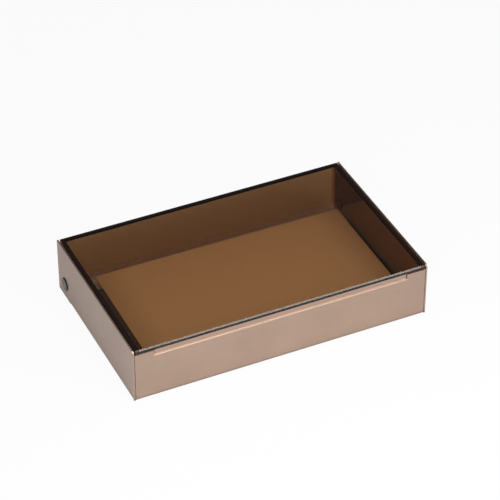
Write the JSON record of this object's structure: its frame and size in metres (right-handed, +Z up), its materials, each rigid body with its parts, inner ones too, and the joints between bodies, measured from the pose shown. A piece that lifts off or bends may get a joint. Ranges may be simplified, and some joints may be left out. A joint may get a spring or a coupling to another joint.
{
  "type": "business card box",
  "caption": "Low metal desk tray for business cards with a tinted see-through lid that swings up on pins at the rear, a nail recess in front and a card inside.",
  "frame": {"origin": "centre of the footprint, on the surface that the box stands on", "axes": "+X along the front, to the right as seen from the front; +Y from the front wall to the rear; +Z up"},
  "size_m": [0.099, 0.0602, 0.0188],
  "materials": {
    "anodised_aluminium": "fine matt, champagne anodised sheet",
    "tinted_acrylic": "polished, see-through brown acrylic",
    "pin_steel": "plain round-headed pin",
    "liner_felt": "thin dark felt",
    "card_paper": "smooth uncoated card, bare"
  },
  "bodies": {
    "tray": {"tray": "anodised_aluminium", "liner": "liner_felt", "blank_card": "card_paper", "pivot_pin_left": "pin_steel", "pivot_pin_right": "pin_steel"},
    "lid": {"lid": "tinted_acrylic"}
  },
  "joints": [
    {"name": "lid_hinge", "type": "hinge", "parent": "tray", "child": "lid", "pos_m": [0, 0.0248, 0.005], "axis": [-1, 0, 0], "range_deg": [0, 90]}
  ]
}
